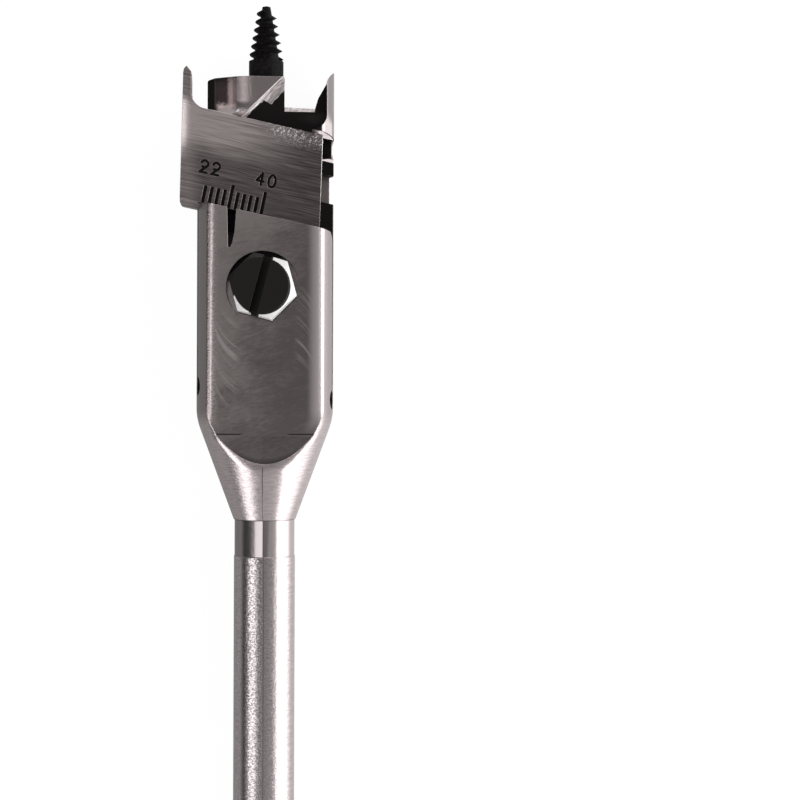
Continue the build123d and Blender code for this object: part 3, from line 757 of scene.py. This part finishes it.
studio = {
    "floorSize": 3.0,
    "floorColour": (0.9, 0.9, 0.9, 1),
    "cameraShare": 0.88,
    "cameraGlow": 1.07,
    "mirrorShare": 0.8,
    "mirrorGlow": {"left": 0.27, "right": 0.66, "farRight": 1.8},
    "rightStartX": (-0.01, 0.01),
    "farRightStartX": (0.018, 0.045),
    "right": {"centre": (0.57, 0.10, 0.227), "target": (0, 0.10, 0), "size": (1.2, 0.43), "radiance": 2.4},
    "left": {"centre": (-0.363, -0.215, 0.344), "target": (0, -0.215, 0), "size": (0.77, 0.33),
             "radiance": 1.85},
    "upper": {"centre": (-0.22, 0.25, 0.45), "target": (0, 0.145, 0), "size": (0.12, 0.10), "radiance": 2.0},
    "tip": {"centre": (-0.1, 0.95, 0.13), "target": (0, 0.14, 0.0), "size": (0.24, 1.0), "radiance": 2.5},
    "zenith": 0.27,
    "rightGain": 0.28,
    "shankGain": 0.36,
    "tipGain": 0.05,
    "shade": 0.05,
}


def makeFloor():
    half = studio["floorSize"] / 2
    level = cadBox[0][2]
    corners = [(-half, -half, level), (half, -half, level), (half, half, level), (-half, half, level)]
    mesh = bpy.data.meshes.new("floor")
    mesh.from_pydata(corners, [], [(0, 1, 2, 3)])
    floor = bpy.data.objects.new("floor", mesh)
    bpy.context.scene.collection.objects.link(floor)
    material = bpy.data.materials.new("paleFloor")
    material.use_nodes = True
    tree = material.node_tree
    tree.nodes.clear()
    path = {out.name: Field(out) for out in addNode(tree, "ShaderNodeLightPath").outputs}
    seen = path["Is Camera Ray"] | path["Is Transmission Ray"]
    x = Field(addNode(tree, "ShaderNodeSeparateXYZ",
                      {0: addNode(tree, "ShaderNodeTexCoord").outputs["Object"]}).outputs[0])
    # Seen in reflections the floor glows by itself: dimmer on the left as a painted shadow, brighter on the
    # right and far right as painted light.
    glow = studio["mirrorGlow"]
    mirrored = choose(x.step(*studio["rightStartX"]).pick(glow["left"], glow["right"]),
                      (x.step(*studio["farRightStartX"]), glow["farRight"]))
    shine = addNode(tree, "ShaderNodeEmission", {"Strength": seen.pick(mirrored, studio["cameraGlow"])})
    matte = addNode(tree, "ShaderNodeBsdfDiffuse", {"Color": studio["floorColour"]})
    share = seen * studio["cameraShare"] | path["Is Glossy Ray"] * studio["mirrorShare"]
    mixed = addNode(tree, "ShaderNodeMixShader", {0: share, 1: matte.outputs[0], 2: shine.outputs[0]})
    addNode(tree, "ShaderNodeOutputMaterial", {"Surface": mixed.outputs[0]})
    mesh.materials.append(material)


def makeSoftbox(name, look):
    # A rectangle of even brightness: its power is radiance times area times pi.
    width, tall = look["size"]
    light = bpy.data.lights.new(name, "AREA")
    light.shape = "RECTANGLE"
    light.size = width
    light.size_y = tall
    light.energy = look["radiance"] * width * tall * math.pi
    lamp = bpy.data.objects.new(name, light)
    bpy.context.scene.collection.objects.link(lamp)
    away = (Vector(look["centre"]) - Vector(look["target"])).normalized()
    up = away.cross(Vector((0, 1, 0))).normalized()
    along = up.cross(away)
    basis = Matrix((along, up, away)).transposed().to_4x4()
    lamp.matrix_world = Matrix.Translation(look["centre"]) @ basis


def makeWorld():
    # Room light: it rises to the right and towards the shank.
    world = bpy.data.worlds.new("studioWorld")
    bpy.context.scene.world = world
    world.use_nodes = True
    tree = world.node_tree
    tree.nodes.clear()
    way = addNode(tree, "ShaderNodeTexCoord").outputs["Generated"]
    x, y, z = (Field(out) for out in addNode(tree, "ShaderNodeSeparateXYZ", {0: way}).outputs)
    level = studio["zenith"] + x * studio["rightGain"] + (y * -studio["shankGain"]).atLeast(0.0)
    level = (level + (y * studio["tipGain"]).atLeast(0.0)).atLeast(studio["shade"])
    room = addNode(tree, "ShaderNodeBackground", {"Strength": level})
    white = addNode(tree, "ShaderNodeBackground", {"Strength": 1.0})
    path = {out.name: Field(out) for out in addNode(tree, "ShaderNodeLightPath").outputs}
    seen = path["Is Camera Ray"] | path["Is Transmission Ray"]
    mixed = addNode(tree, "ShaderNodeMixShader", {0: seen, 1: room.outputs[0], 2: white.outputs[0]})
    addNode(tree, "ShaderNodeOutputWorld", {"Surface": mixed.outputs[0]})


makeFloor()
for name in ("right", "left", "upper", "tip"):
    makeSoftbox(name + "Softbox", studio[name])
makeWorld()
bpy.context.scene.view_settings.view_transform = "Standard"
print("studio placed")


# camera: above the bit, turned right so that the bit stands left of the middle

view = {
    "place": (0.0, 0.09755, 0.250),
    "focalPixels": 1566.3,
    "imageWidth": 800,
    "turnRight": math.radians(4.925),
    "roll": math.radians(0.21),
}


def makeCamera():
    camera = bpy.data.cameras.new("camera")
    camera.sensor_width = 36.0
    camera.lens = camera.sensor_width * view["focalPixels"] / view["imageWidth"]
    camera.clip_start = 0.01
    camera.clip_end = 20
    right = Vector((math.cos(view["turnRight"]), 0, math.sin(view["turnRight"])))
    back = Vector((-math.sin(view["turnRight"]), 0, math.cos(view["turnRight"])))
    up = Vector((0, 1, 0))
    rolledUp = math.cos(view["roll"]) * up - math.sin(view["roll"]) * right
    rolledRight = math.cos(view["roll"]) * right + math.sin(view["roll"]) * up
    holder = bpy.data.objects.new("camera", camera)
    bpy.context.scene.collection.objects.link(holder)
    basis = Matrix((rolledRight, rolledUp, back)).transposed().to_4x4()
    holder.matrix_world = Matrix.Translation(view["place"]) @ basis
    bpy.context.scene.camera = holder


makeCamera()
print("camera placed")
